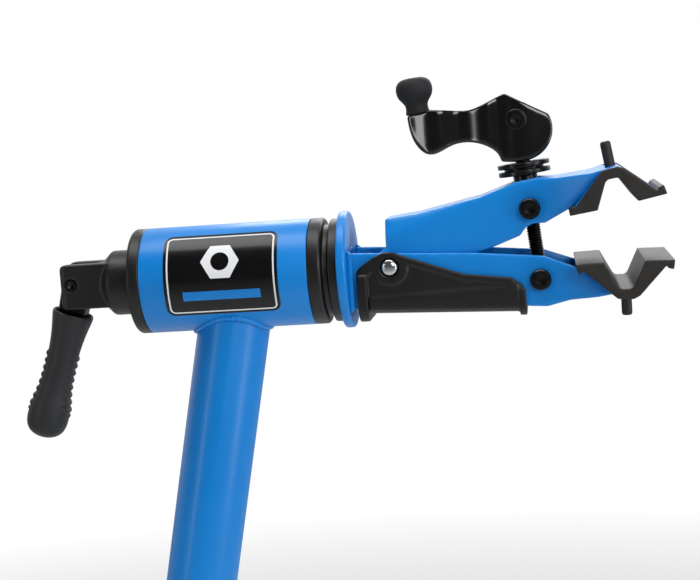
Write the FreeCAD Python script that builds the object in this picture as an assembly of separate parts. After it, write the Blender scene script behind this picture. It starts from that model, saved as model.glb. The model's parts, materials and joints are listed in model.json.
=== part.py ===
import FreeCAD, Part
import math
import os

# Bike repair stand, in millimetres.
# The origin is on the floor, where the axis of the leaning post meets it.
# +X points the way the clamp points, +Z is up, and the stand is the same both sides of Y = 0
# apart from its collar lever, its screws and its leg knobs.

Vector = FreeCAD.Vector
along_x = Vector(1, 0, 0)
along_y = Vector(0, 1, 0)
along_z = Vector(0, 0, 1)

# ---- the post ----
lean = 11.95                      # the post's lean towards +X, in degrees
head_height = 1100.0              # floor to the head's axis
upper_post_radius = 20.65
lower_post_radius = 25.4
post_wall = 2.0
upper_post_low_end = 440.0        # along the post from the floor
lower_post_low_end = 14.0
lower_post_top = 880.0
hub_centre = 300.0
running_gap = 0.05                # radial clearance of a shaft in its bore
moving_gap = 0.3                  # clearance beside a part that moves

# ---- the legs ----
leg_spread = 40.0                 # each leg's turn from +X, seen along the post
leg_pivot_out = 80.0              # post axis to leg pivot
leg_length = 790.0                # pivot to the tube's end
leg_end_height = 18.5             # floor to the middle of the tube's end
leg_radius = 15.9
leg_wall = 1.6

# ---- the head, in its own frame: origin on its axis above the post ----
head_radius = 30.15
head_wall = 3.5
head_rear = -52.5
head_front = 43.0
shaft_radius = 12.7
flange_back = 59.6
flange_front = 65.0
flange_radius = 33.1

# ---- the clamp ----
pivot_x = 88.4
pivot_z = 1.9
trunnion_reach = 83.0             # arm pivot to either trunnion
trunnion_angle = 27.1             # between the two trunnions, seen from the arm pivot
rod_lean = 5.6                    # the rod's lean towards -X
rod_radius = 4.0
trunnion_radius = 7.0
rivet_radius = 3.5
screw_radius = 3.0
sheet = 3.0                       # arm steel
lower_half = 21.0                 # lower arm, outside half width
upper_half = 17.6                 # upper arm, outside half width
jaw_half = 37.7                   # jaw cover, half depth
lever_pivot_along = 48.8          # upper trunnion to lever pivot, along the rod
cam_reach = 23.3                  # lever pivot to the face that presses the washers
knob_base = (107.8, 84.6)         # foot of the spin knob on the lever's tail


# ---------------------------------------------------------------- helpers

def bar(axis, radius, start, end, x=0.0, y=0.0, z=0.0):
    """A round bar along an axis, from start to end, through the point x, y, z."""
    foot = Vector(x, y, z) + axis * start
    return Part.makeCylinder(radius, end - start, foot, axis)


def tube(axis, outside, inside, start, end, x=0.0, y=0.0, z=0.0):
    """A round tube along an axis."""
    return bar(axis, outside, start, end, x, y, z).cut(bar(axis, inside, start, end, x, y, z))


def block(x_span, y_span, z_span):
    """A box between two values on each axis."""
    size = (x_span[1] - x_span[0], y_span[1] - y_span[0], z_span[1] - z_span[0])
    return Part.makeBox(*size, Vector(x_span[0], y_span[0], z_span[0]))


def side_shape(points, low_y, high_y):
    """A closed side outline of (x, z) points, as thick as the two y values are apart."""
    corners = [Vector(x, low_y, z) for x, z in points]
    face = Part.Face(Part.makePolygon(corners + corners[:1]))
    return face.extrude(Vector(0, high_y - low_y, 0))


def plan_shape(points, low_z, high_z):
    """A closed plan outline of (x, y) points, as tall as the two z values are apart."""
    corners = [Vector(x, y, low_z) for x, y in points]
    face = Part.Face(Part.makePolygon(corners + corners[:1]))
    return face.extrude(Vector(0, 0, high_z - low_z))


def both_sides(points):
    """A plan outline of (x, half width) points, closed by its mirror image."""
    return points + [(x, -half) for x, half in reversed(points)]


def turned(points, axis_point, axis):
    """A closed (distance, radius) outline turned about an axis."""
    across = along_y if abs(axis.dot(along_y)) < 0.5 else along_x
    corners = [axis_point + axis * run + across * radius for run, radius in points]
    face = Part.Face(Part.makePolygon(corners + corners[:1]))
    return face.revolve(axis_point, axis, 360)


def runs_along(edge, axis):
    """True for a straight edge along the axis."""
    if len(edge.Vertexes) < 2:
        return False
    if edge.Curve.TypeId != "Part::GeomLine":
        return False
    step = edge.Vertexes[1].Point - edge.Vertexes[0].Point
    return step.Length > 0 and abs(step.normalize().dot(axis)) > 0.999


def round_edges(shape, radius, chosen):
    """Rounds the edges that the chosen test picks."""
    return shape.makeFillet(radius, [edge for edge in shape.Edges if chosen(edge)])


def circles_of(radius):
    """A test that picks circular edges of one radius."""
    def chosen(edge):
        return edge.Curve.TypeId == "Part::GeomCircle" and abs(edge.Curve.Radius - radius) < 0.01
    return chosen


def near_side_corner(x, z, reach=1.0):
    """A test that picks the edges along Y at one corner of a side outline."""
    def chosen(edge):
        middle = edge.CenterOfMass
        return runs_along(edge, along_y) and math.hypot(middle.x - x, middle.z - z) < reach
    return chosen


def joined(first, *others):
    """One solid from touching or overlapping shapes."""
    result = first
    for shape in others:
        result = result.fuse(shape)
    return result.removeSplitter()


def mirrored_y(shape):
    """The shape's mirror image across Y = 0."""
    return shape.mirror(Vector(0, 0, 0), along_y)


def turned_about_y(shape, degrees, x=0.0, z=0.0):
    """The shape turned about an axis along Y through a point."""
    copy = shape.copy()
    copy.rotate(Vector(x, 0, z), along_y, degrees)
    return copy


# ---------------------------------------------------------------- frames

head_x = head_height * math.tan(math.radians(lean))
post_length = head_height / math.cos(math.radians(lean))

# The post's lean tips the leg's level by fall; leg_drop is the rest of its slope,
# in degrees below square to the post.
leg_fall = math.cos(math.radians(leg_spread)) * math.sin(math.radians(lean))
leg_rise = math.cos(math.radians(lean))
leg_pivot_height = hub_centre * leg_rise - leg_pivot_out * leg_fall
leg_slope = (leg_pivot_height - leg_end_height) / leg_length
leg_tilt = math.atan2(leg_fall, leg_rise)
leg_drop = math.degrees(math.asin(leg_slope / math.hypot(leg_fall, leg_rise)) - leg_tilt)

rod_tilt = math.radians(rod_lean)
rod_axis = Vector(-math.sin(rod_tilt), 0, math.cos(rod_tilt))


def from_pivot(degrees):
    """The point at the trunnions' reach from the arm pivot."""
    turn = math.radians(degrees)
    return (pivot_x + trunnion_reach * math.cos(turn), pivot_z + trunnion_reach * math.sin(turn))


upper_trunnion_x, upper_trunnion_z = from_pivot(rod_lean + trunnion_angle / 2)
lower_trunnion_x, lower_trunnion_z = from_pivot(rod_lean - trunnion_angle / 2)
trunnion_gap = 2 * trunnion_reach * math.sin(math.radians(trunnion_angle / 2))


def on_rod(distance):
    """The x and z of a point on the rod, measured up from the upper trunnion."""
    return (upper_trunnion_x + rod_axis.x * distance, upper_trunnion_z + rod_axis.z * distance)


def rod_part(outside, inside, start, end):
    """A ring or bar on the rod's axis between two distances from the upper trunnion."""
    x, z = on_rod(0)
    solid = bar(rod_axis, outside, start, end, x, 0, z)
    if inside > 0:
        solid = solid.cut(bar(rod_axis, inside, start - 1, end + 1, x, 0, z))
    return solid


def in_head(shape):
    """Moves a shape from the head's frame to its place on the stand."""
    copy = shape.copy()
    copy.translate(Vector(head_x, 0, head_height))
    return copy


def on_post(shape):
    """Leans a shape, built with the post upright, to the post's lean."""
    return turned_about_y(shape, lean)


# ---------------------------------------------------------------- post

def lower_post():
    inside = lower_post_radius - post_wall
    body = tube(along_z, lower_post_radius, inside, lower_post_low_end, lower_post_top)
    slit = block((-lower_post_radius - 1, 0), (-1.5, 1.5), (lower_post_top - 55, lower_post_top + 1))
    return body.cut(slit)


def post_foot():
    outside = 31.0
    points = [(-12, 0), (-12, outside), (38, outside), (50, 28.5), (52, 27.5), (52, 0)]
    boot = turned(points, Vector(0, 0, 0), along_z)
    boot = boot.cut(bar(along_z, lower_post_radius, lower_post_low_end, 60))
    under_floor = block((-90, 90), (-90, 90), (-60, 0))
    return on_post(boot).cut(under_floor)


def upper_post():
    inside = upper_post_radius - post_wall
    body = on_post(tube(along_z, upper_post_radius, inside, upper_post_low_end, post_length))
    return body.cut(in_head(bar(along_x, head_radius, -90, 90)))


def head_weld():
    bead = 2.6
    collar = on_post(bar(along_z, upper_post_radius + bead, post_length - 60, post_length))
    near_head = in_head(bar(along_x, head_radius + bead, -90, 90))
    bead_ring = collar.common(near_head).cut(in_head(bar(along_x, head_radius, -90, 90)))
    return bead_ring.cut(on_post(bar(along_z, upper_post_radius, post_length - 90, post_length)))


def post_glide():
    """Plastic ring on the upper post's low end, running inside the lower post."""
    glide_radius = lower_post_radius - post_wall - running_gap
    low = upper_post_low_end - 12
    points = [(low, 10), (low, glide_radius - 2), (low + 3, glide_radius), (low + 11, glide_radius)]
    points += [(low + 12, glide_radius - 1), (low + 12, upper_post_radius - post_wall)]
    points += [(low + 45, upper_post_radius - post_wall), (low + 45, 10)]
    return turned(points, Vector(0, 0, 0), along_z)


rim_radius = 26.6                  # the bushing's rim, on top of the lower post
rim_height = 5.0


def collar_bushing():
    """Split plastic sleeve that the upper post slides in."""
    bore = upper_post_radius + running_gap
    inside = lower_post_radius - post_wall
    top = lower_post_top
    points = [(top - 80, bore), (top - 80, inside), (top, inside)]
    points += [(top, rim_radius), (top + rim_height, rim_radius), (top + rim_height, bore)]
    return turned(points, Vector(0, 0, 0), along_z)


collar_low = lower_post_top - 30
collar_high = lower_post_top + 11
ear_out = -52.0
ear_low = collar_low + 7
ear_high = collar_high - 7
ear_middle = (ear_low + ear_high) / 2
ear_half = 11.5
slit_half = 1.5
bolt_x = -43.0
barrel_y = -21.0


def post_collar():
    """Clamp collar with two ears behind the post."""
    outside = 32.0
    points = [(collar_low, lower_post_radius), (collar_low, outside - 1.5), (collar_low + 1.5, outside)]
    points += [(collar_high - 3, outside), (collar_high, outside - 3), (collar_high, 22.0)]
    points += [(lower_post_top + rim_height, 22.0), (lower_post_top + rim_height, rim_radius)]
    points += [(lower_post_top, rim_radius), (lower_post_top, lower_post_radius)]
    ring = turned(points, Vector(0, 0, 0), along_z)
    ears = block((ear_out, -28), (-ear_half, ear_half), (ear_low, ear_high))
    ears = round_edges(ears, 5, lambda edge: runs_along(edge, along_y) and edge.CenterOfMass.x < ear_out + 1)
    body = ring.fuse(ears.cut(bar(along_z, 30, 0, 2000)))
    body = body.cut(block((ear_out - 1, -20), (-slit_half, slit_half), (0, 2000)))
    body = body.cut(bar(along_y, 3.3, -30, 30, bolt_x, 0, ear_middle))
    return body.removeSplitter()


def collar_bolt():
    """T-shaped bolt: its cross barrel is the lever's pivot."""
    shank = bar(along_y, 3.0, barrel_y, ear_half + 7.5, bolt_x, 0, ear_middle)
    barrel = bar(along_z, 4.0, -8.5, 8.5, bolt_x, barrel_y, ear_middle)
    return joined(shank, barrel)


def hexagon(across_flats, axis, start, end, x, y, z):
    """A hexagonal bar."""
    corner = across_flats / math.sqrt(3)
    first = along_x if abs(axis.dot(along_x)) < 0.5 else along_z
    second = axis.cross(first)
    centre = Vector(x, y, z) + axis * start
    corners = []
    for index in range(6):
        turn = math.radians(60 * index + 30)
        corners.append(centre + first * (corner * math.cos(turn)) + second * (corner * math.sin(turn)))
    face = Part.Face(Part.makePolygon(corners + corners[:1]))
    return face.extrude(axis * (end - start))


def collar_nut():
    nut = hexagon(11.0, along_y, ear_half, ear_half + 6, bolt_x, 0, ear_middle)
    return nut.cut(bar(along_y, 3.0, 0, 30, bolt_x, 0, ear_middle))


def collar_lever():
    """Cam lever that lies round the collar when it is shut."""
    head_size = 9.0
    low = ear_middle - 8.5
    high = ear_middle + 8.5
    eye = bar(along_z, head_size, low, high, bolt_x, barrel_y)
    inner = 34.5
    outer = 41.5
    band = tube(along_z, outer, inner, low + 1.5, high - 1.5)
    sector = block((-60, 8), (-60, -ear_half - 1), (low - 1, high + 1))
    arm = band.common(sector)
    tip = block((3, 30), (-outer - 1.0, -inner - 1.0), (low + 1.5, high - 1.5))
    tip = turned_about_point(tip, -12, 8, -outer)
    arm = joined(arm, tip)
    lever = joined(eye, arm)
    lever = lever.cut(bar(along_z, 4.0 + running_gap, low - 1, high + 1, bolt_x, barrel_y))
    slot_half = 3.6
    slot = block((bolt_x - 14, bolt_x + 4.3), (barrel_y - slot_half, barrel_y + 14),
                 (ear_middle - slot_half, ear_middle + slot_half))
    return lever.cut(slot)


def turned_about_point(shape, degrees, x, y):
    """The shape turned about an upright axis."""
    copy = shape.copy()
    copy.rotate(Vector(x, y, 0), along_z, degrees)
    return copy


# ---------------------------------------------------------------- legs

# Each leg is built along +X from its pivot at x = leg_pivot_out, with the post upright,
# then turned about the post by its spread.

plate_inner = leg_radius + 0.45
plate_outer = plate_inner + 5.0
pivot_bolt_radius = 5.0


def spread_leg(shape, side):
    """Turns a shape built in the X-Z plane to its leg's side, and leans it with the post."""
    copy = shape.copy()
    copy.rotate(Vector(0, 0, 0), along_z, leg_spread * side)
    return on_post(copy)


def dropped(shape):
    """Slopes a leg shape, built level, down about its pivot."""
    return turned_about_y(shape, leg_drop, leg_pivot_out, hub_centre)


def leg_hub():
    """Welded hub: a sleeve on the post with a pair of ears for each leg."""
    def outer_end(edge):
        return runs_along(edge, along_y) and edge.CenterOfMass.x > 97

    hub = tube(along_z, 31.0, lower_post_radius, hub_centre - 30, hub_centre + 30)
    for side in (1, -1):
        for inner in (plate_inner, -plate_outer):
            points = [(19, hub_centre - 26), (70, hub_centre - 20), (98, hub_centre - 14)]
            points += [(98, hub_centre + 14), (70, hub_centre + 18), (19, hub_centre + 26)]
            plate = side_shape(points, inner, inner + 5.0)
            plate = round_edges(plate, 11, outer_end)
            plate = plate.cut(bar(along_y, pivot_bolt_radius, -60, 60, leg_pivot_out, 0, hub_centre))
            plate.rotate(Vector(0, 0, 0), along_z, leg_spread * side)
            hub = hub.fuse(plate)
    hub = hub.cut(bar(along_z, lower_post_radius, hub_centre - 40, hub_centre + 40))
    return on_post(hub.removeSplitter())


def leg_pivot_bolts():
    bolts = []
    for side in (1, -1):
        shank = bar(along_y, pivot_bolt_radius, -plate_outer - 14, plate_outer, leg_pivot_out, 0, hub_centre)
        head = hexagon(16.0, along_y, plate_outer, plate_outer + 6, leg_pivot_out, 0, hub_centre)
        bolt = joined(shank, head)
        if side < 0:
            bolt = mirrored_y(bolt)
        # the knob is on each leg's outer side
        bolts.append(spread_leg(mirrored_y(bolt), side))
    return Part.makeCompound(bolts)


def leg_knob(side):
    """Five-lobed knob on the outer end of the pivot bolt."""
    low = plate_outer + moving_gap
    knob = bar(along_y, 13.0, low + 4, low + 17, leg_pivot_out, 0, hub_centre)
    lobes = 5
    lobe_out = 12.5
    for index in range(lobes):
        turn = math.radians(360 / lobes * index + 18)
        x = leg_pivot_out + lobe_out * math.cos(turn)
        z = hub_centre + lobe_out * math.sin(turn)
        knob = knob.fuse(bar(along_y, 5.5, low + 4, low + 17, x, 0, z))
    knob = knob.fuse(bar(along_y, 9.0, low, low + 5, leg_pivot_out, 0, hub_centre)).removeSplitter()
    bore_radius = pivot_bolt_radius + running_gap
    knob = knob.cut(bar(along_y, bore_radius, low - 1, low + 14.5, leg_pivot_out, 0, hub_centre))
    if side < 0:
        knob = mirrored_y(knob)
    return spread_leg(knob, side)


def leg_end(side):
    """Cast end that carries the pivot and plugs into the leg's tube."""
    half = 14.5
    x = leg_pivot_out
    body = block((x, x + 34), (-leg_radius, leg_radius), (hub_centre - half, hub_centre + half))
    body = body.fuse(bar(along_y, half, -leg_radius, leg_radius, x, 0, hub_centre))
    body = body.fuse(bar(along_x, leg_radius, x + 26, x + 40, 0, 0, hub_centre))
    body = body.fuse(bar(along_x, leg_radius - leg_wall, x + 40, x + 75, 0, 0, hub_centre)).removeSplitter()
    body = body.cut(bar(along_y, pivot_bolt_radius + running_gap, -30, 30, x, 0, hub_centre))
    return spread_leg(dropped(body), side)


def leg_tube(side):
    x = leg_pivot_out
    body = tube(along_x, leg_radius, leg_radius - leg_wall, x + 40, x + leg_length, 0, 0, hub_centre)
    return spread_leg(dropped(body), side)


def leg_foot(side):
    """Rubber foot, cut flat where it stands."""
    outside = 19.5
    x = leg_pivot_out + leg_length
    points = [(-50, leg_radius), (-50, outside - 1.5), (-48.5, outside), (10, outside)]
    points += [(16, outside - 2), (19, outside - 8), (19, 0), (0, 0), (0, leg_radius)]
    cap = turned(points, Vector(x, 0, hub_centre), along_x)
    placed = spread_leg(dropped(cap), side)
    return placed.cut(block((0, 1200), (-900, 900), (-90, 0)))


# ---------------------------------------------------------------- head

def head_tube():
    return tube(along_x, head_radius, head_radius - head_wall, head_rear, head_front)


def rear_bearing_cap():
    bore = shaft_radius + running_gap
    inside = head_radius - head_wall
    points = [(-60, bore), (-60, head_radius), (head_rear, head_radius)]
    points += [(head_rear, inside), (-38, inside), (-38, bore)]
    cap = turned(points, Vector(0, 0, 0), along_x)
    return round_edges(cap, 2.2, lambda edge: circles_of(head_radius)(edge) and edge.CenterOfMass.x < -59)


def front_bearing_cap():
    neck = 26.0
    bore = shaft_radius + running_gap
    inside = head_radius - head_wall
    points = [(28, bore), (28, inside), (head_front, inside), (head_front, head_radius)]
    points += [(51, head_radius), (51, neck), (54.2, neck), (54.2, bore)]
    cap = turned(points, Vector(0, 0, 0), along_x)
    return round_edges(cap, 2.0, lambda edge: circles_of(head_radius)(edge) and edge.CenterOfMass.x > 50)


def label(start, end, low_turn, high_turn, inside, outside, corner):
    """A thin wrapped label; turns are measured from -Y towards +Z."""
    strip = tube(along_x, outside, inside, start, end)
    low = math.radians(low_turn)
    high = math.radians(high_turn)
    reach = 80.0
    middle = (low + high) / 2
    wedge_points = [Vector(start - 1, 0, 0)]
    for turn in (low, middle, high):
        wedge_points.append(Vector(start - 1, -reach * math.cos(turn), reach * math.sin(turn)))
    wedge = Part.Face(Part.makePolygon(wedge_points + wedge_points[:1]))
    piece = strip.common(wedge.extrude(Vector(end - start + 2, 0, 0)))
    for turn, up in ((low_turn, 1), (high_turn, -1)):
        for end_x, inward in ((start, 1), (end, -1)):
            piece = piece.cut(label_corner(end_x, inward, turn, up, outside, corner))
    return piece


def label_corner(x, inward, turn, up, outside, corner):
    """What is cut from a wrapped label to round one of its corners."""
    x_span = sorted((x - inward, x + inward * corner))
    z_span = sorted((-up, up * corner))
    square = block(x_span, (-outside - 1, -outside + 1), z_span)
    rounding = bar(along_y, corner, -outside - 2, -outside + 2, x + inward * corner, 0, up * corner)
    cutter = square.cut(rounding)
    cutter.rotate(Vector(0, 0, 0), along_x, -turn)
    return cutter


def spindle_shaft():
    body = bar(along_x, shaft_radius, -60, flange_front)
    return joined(body, bar(along_x, 8.0, -80, -60))


def friction_washer():
    ring = tube(along_x, 29.2, shaft_radius, 54.5, flange_back)
    return round_edges(ring, 0.8, circles_of(29.2))


def spindle_flange():
    ring = tube(along_x, flange_radius, shaft_radius, flange_back, flange_front)
    return round_edges(ring, 1.5, circles_of(flange_radius))


# ---------------------------------------------------------------- crank handle

crank_pin_x = -96.8
crank_pin_z = 1.0
fork_half = 5.5


def handle_block():
    """Nut body that tightens the spindle, with a fork for the folding handle."""
    radius = 18.7
    half_width = 14.0
    half_height = 12.9
    outline = [(-60.3, 0), (-60.3, radius), (-74, radius), (-79.8, 13), (-79.8, 0)]
    barrel = turned(outline, Vector(0, 0, 0), along_x)
    flats = block((-103.6, -70), (-half_width, half_width), (-half_height, half_height))
    flats = round_edges(flats, 3.5, lambda edge: edge.CenterOfMass.x < -100)
    flats = flats.cut(block((-120, -83), (-fork_half, fork_half), (-20, 20)))
    body = joined(barrel, flats)
    body = body.cut(bar(along_x, 8.0 + running_gap, -81, -60))
    return body.cut(bar(along_y, 3.75, -20, 20, crank_pin_x, 0, crank_pin_z))


def crank_pin():
    pin = bar(along_y, 3.75, -13.6, 13.6, crank_pin_x, 0, crank_pin_z)
    for side in (-1, 1):
        dimple = Part.makeCone(0.1, 2.2, 1.4, Vector(crank_pin_x, side * 12.2, crank_pin_z), along_y * side)
        pin = pin.cut(dimple)
    return pin


grip_lean = 19.3                  # the hanging handle's lean from straight down, towards -X
grip_start_x = -100.8
grip_start_z = -15.3


def along_handle(shape):
    """Places a shape built hanging straight down from the origin on the handle's axis."""
    copy = turned_about_y(shape, grip_lean)
    copy.translate(Vector(grip_start_x, 0, grip_start_z))
    return copy


tongue_in_grip = block((-7.0, 7.0), (-5.1, 5.1), (-34, 4))


def handle_tongue():
    eye = bar(along_y, 9.0, -5.1, 5.1, crank_pin_x, 0, crank_pin_z)
    neck = side_shape([(-105.5, -1.5), (-108.6, -14), (-93.5, -19), (-88.4, -1.5)], -5.1, 5.1)
    shape = joined(eye, neck, along_handle(tongue_in_grip))
    return shape.cut(bar(along_y, 3.75 + running_gap, -20, 20, crank_pin_x, 0, crank_pin_z))


def handle_grip():
    """Moulded grip: wide mouth, narrow waist, round end."""
    length = 77.3
    bulb = 12.4
    mouth = 12.2
    bulb_at = bulb - length

    def at(radius, height):
        return Vector(radius, 0, height)

    def on_bulb(degrees):
        turn = math.radians(degrees)
        return at(bulb * math.cos(turn), bulb_at - bulb * math.sin(turn))

    waist = [at(10.3, -12), at(8.9, -30), at(9.3, -46), at(11.6, -57)]
    side = Part.BSplineCurve()
    side.interpolate([at(mouth, 0)] + waist + [on_bulb(0)])
    end_turn = Part.Arc(on_bulb(0), on_bulb(40), on_bulb(80))
    tip = at(0, on_bulb(80).z)
    edges = [Part.LineSegment(at(0, 0), at(mouth, 0)).toShape(), side.toShape(), end_turn.toShape()]
    edges.append(Part.LineSegment(on_bulb(80), tip).toShape())
    edges.append(Part.LineSegment(tip, at(0, 0)).toShape())
    body = Part.Face(Part.Wire(edges)).revolve(Vector(0, 0, 0), along_z, 360)
    body = body.cut(turned([(1, 0), (1, 10.6), (0, 10.4), (-11, 8.9), (-11, 0)], Vector(0, 0, 0), along_z))
    return along_handle(body.cut(tongue_in_grip))


# ---------------------------------------------------------------- jaws

# Side outline of the lower jaw cover, clockwise from the left end of its gripping face.
# The V's foot is rounded after it is cut.
cover_face = [(189.6, -1.2), (204.6, -0.9), (212.2, -15.6), (219.2, -15.6), (226.3, -1.0), (241.8, -1.5)]
cover_right_hook = [(241.0, -6.6), (237.9, -5.9), (237.4, -4.2)]
cover_back = [(222.6, -19.8), (219.3, -21.4), (211.0, -20.9), (193.4, -5.1)]
cover_left_hook = [(191.2, -7.2), (190.0, -3.6)]
stub_x = 217.0
tab_inner = 30.0
upper_jaw_turn = 9.2              # the upper jaw's tilt when the clamp is as drawn
upper_face_start = (187.9, 24.9)  # where the upper jaw's gripping face starts


def lower_plate_solid(half):
    """The plate lies just inside the cover's back, between its side lips."""
    back = [(192.2, -4.0), (210.9, -20.3), (219.2, -20.8), (222.3, -19.2), (237.2, -4.2)]
    front = [(233.1, -4.1), (220.6, -16.6), (218.6, -17.8), (212.2, -17.3), (196.4, -3.7)]
    return side_shape(back + front, -half, half)


def jaw_cover_solid():
    """Moulded cover with a pocket for the steel plate and a stub through it."""
    outline = cover_face + cover_right_hook + cover_back + cover_left_hook
    body = side_shape(outline, -jaw_half, jaw_half)
    for foot in cover_face[2:4]:
        body = round_edges(body, 3.0, near_side_corner(*foot))
    pocket_half = 34.6
    pocket = [(192.2, -4.0), (196.4, -3.7), (212.2, -17.3), (218.6, -17.8), (220.6, -16.6)]
    pocket += [(233.1, -4.1), (237.2, -4.2), (238.5, -30), (190.0, -30), (189.5, -8)]
    body = body.cut(side_shape(pocket, -pocket_half, pocket_half))
    # the rear hook is two end tabs, so that the arm fits between them
    body = body.cut(block((185.0, 192.6), (-tab_inner, tab_inner), (-12.0, -3.7)))
    stub = [(-34.7, 0), (-34.7, 2.4), (-33.6, 3.0), (-20, 3.0), (-16.8, 3.2), (-16.8, 0)]
    return joined(body, turned(stub, Vector(stub_x, 0, 0), along_z))


def jaw_plate_solid():
    half = 34.4
    plate = lower_plate_solid(half)
    return plate.cut(bar(along_z, 3.3, -30, 0, stub_x, 0, 0))


def as_upper_jaw(shape):
    """Turns a lower jaw shape into the upper one: flipped over and tilted."""
    flipped = shape.mirror(Vector(0, 0, 0), along_z)
    start_x, start_z = cover_face[0]
    flipped = turned_about_y(flipped, -upper_jaw_turn, start_x, -start_z)
    flipped.translate(Vector(upper_face_start[0] - start_x, 0, upper_face_start[1] + start_z))
    return flipped


# ---------------------------------------------------------------- arms

lower_side = [(flange_front, 10.8), (136.6, 6.8), (172.7, 3.1), (189.6, -3.6), (192.2, -4.0)]
lower_side += [(209.0, -18.64), (200.0, -20.3), (186.4, -21.5), (173.5, -24.8), (162.0, -24.0)]
lower_side += [(flange_front, -20.5)]
flare_start = 177.0
flare_end = 210.0
flare_half = 34.0


def arm_plan(half, rear):
    """Plan outline of an arm: straight, then flaring to the jaw plate's width."""
    return both_sides([(rear, half), (flare_start, half), (flare_end, flare_half)])


def arm_plan_inside(half, rear):
    """The same outline a sheet's thickness further in."""
    flare = math.atan2(flare_half - half, flare_end - flare_start)
    inner = half - sheet
    shift = sheet * math.tan(flare / 2)
    wide = flare_half - sheet / math.cos(flare) + math.tan(flare)
    return both_sides([(rear, inner), (flare_start + shift, inner), (flare_end + 1, wide)])


def lower_arm_outside():
    return side_shape(lower_side, -60, 60).common(plan_shape(arm_plan(lower_half, flange_front), -60, 60))


def lower_arm():
    """Pressed steel channel, open at the top, welded to the flange."""
    outside = lower_arm_outside()
    floor_line = [(flange_front - 1, -20.5), (162.0, -24.0), (173.5, -24.8), (186.8, -21.5), (200.4, -20.3)]
    floor_line.append((214, -18.2))
    inside_side = [(flange_front - 1, 30)]
    inside_side += [(x, z + sheet) for x, z in floor_line]
    inside_side.append((214, 30))
    inside = side_shape(inside_side, -60, 60)
    inside = inside.common(plan_shape(arm_plan_inside(lower_half, flange_front - 1), -60, 60))
    body = outside.cut(inside)
    body = body.cut(lower_plate_solid(60))
    body = body.cut(bar(along_y, rivet_radius, -30, 30, pivot_x, 0, pivot_z))
    body = body.cut(bar(along_y, screw_radius + running_gap, -30, 30, lower_trunnion_x, 0, lower_trunnion_z))
    rod_slot = block((165.5, 178.0), (-6.5, 6.5), (-40, -15))
    return body.cut(rod_slot).removeSplitter()


def flange_weld():
    """Weld bead between the flange and the lower arm."""
    bead = 2.6
    face = flange_front + bead
    points = [(flange_front, 12.5), (face, 10.6), (face, -20.6), (flange_front, -23.0)]
    swept = side_shape(points, -lower_half - bead, lower_half + bead)
    inside_arm = block((60, 80), (-lower_half + 0.01, lower_half - 0.01), (-19, 40))
    return swept.cut(lower_arm_outside()).cut(inside_arm)


upper_top = [(86.5, 27.9), (104.7, 29.8), (140.0, 36.9), (160.2, 43.9), (172.3, 45.6), (181.3, 44.9)]
upper_top += [(200.4, 46.6), (209.0, 48.6)]
upper_bottom = [(187.6, 27.6), (174.8, 20.8), (168.2, 20.8), (164.0, 18.7), (160.7, 14.5), (147.2, 9.6)]


def upper_arm_outline():
    """Side outline: a round end at the pivot, then the long top and bottom edges."""
    reach = 9.8
    slope = math.atan2(upper_bottom[-2][1] - upper_bottom[-1][1], upper_bottom[-2][0] - upper_bottom[-1][0])
    foot = (pivot_x + reach * math.sin(slope), pivot_z - reach * math.cos(slope))
    corners = upper_top + [(190.6, 29.6)] + upper_bottom + [foot]
    rear = (86.5, pivot_z + math.sqrt(reach ** 2 - (pivot_x - 86.5) ** 2))
    return corners, foot, rear, reach


def upper_arm_outside():
    corners, foot, rear, reach = upper_arm_outline()
    half = 60

    def point(spot):
        return Vector(spot[0], -half, spot[1])

    edges = []
    for first, second in zip(corners, corners[1:]):
        edges.append(Part.LineSegment(point(first), point(second)).toShape())
    edges.append(Part.Arc(point(foot), point((pivot_x - reach, pivot_z)), point(rear)).toShape())
    edges.append(Part.LineSegment(point(rear), point(corners[0])).toShape())
    body = Part.Face(Part.Wire(edges)).extrude(Vector(0, 2 * half, 0))
    body = body.common(plan_shape(arm_plan(upper_half, 60), -60, 90))
    return body


def leaned_corner(inset):
    """A wedge past the arm's near side whose inner face leans in towards the rear."""
    rear_low = Vector(80, -upper_half + inset, 15.2)
    rear_high = Vector(80, -upper_half + 6.2 + inset, 29.5)
    front = Vector(143, -upper_half + inset, 38.8)
    normal = (rear_high - rear_low).cross(front - rear_low).normalize()
    if normal.y > 0:
        normal = normal * -1
    far = 60
    wedge = Part.Face(Part.makePolygon([
        rear_low + (rear_low - front), rear_high + (rear_high - rear_low) * 4 + (rear_low - front),
        rear_high + (rear_high - rear_low) * 4 + (front - rear_low) * 1.2, front + (front - rear_low) * 0.6,
        rear_low + (rear_low - front)]))
    return wedge.extrude(normal * far)


def upper_arm():
    """Pressed steel channel, open underneath, that swings on the rivet."""
    outside = upper_arm_outside()
    inside_points = [(80, 27.9 - sheet)]
    inside_points += [(x, z - sheet) for x, z in upper_top[1:]]
    inside_points += [(216, 48.6 - sheet), (216, -30), (60, -30), (60, 26)]
    inside = side_shape(inside_points, -60, 60)
    inside = inside.common(plan_shape(arm_plan_inside(upper_half, 50), -60, 90))
    for side in (1, -1):
        outer_wedge = leaned_corner(0)
        inner_wedge = leaned_corner(sheet)
        if side < 0:
            outer_wedge = mirrored_y(outer_wedge)
            inner_wedge = mirrored_y(inner_wedge)
        outside = outside.cut(outer_wedge)
        inside = inside.cut(inner_wedge)
    body = outside.cut(inside)
    body = body.cut(as_upper_jaw(beyond_plate()))
    body = body.cut(bar(along_y, rivet_radius + running_gap, -30, 30, pivot_x, 0, pivot_z))
    body = body.cut(bar(along_y, screw_radius + running_gap, -30, 30, upper_trunnion_x, 0, upper_trunnion_z))
    x, z = on_rod(16)
    opening = bar(rod_axis, 9.2, -9, 9, x, 0, z)
    return body.cut(opening).removeSplitter()


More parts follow.
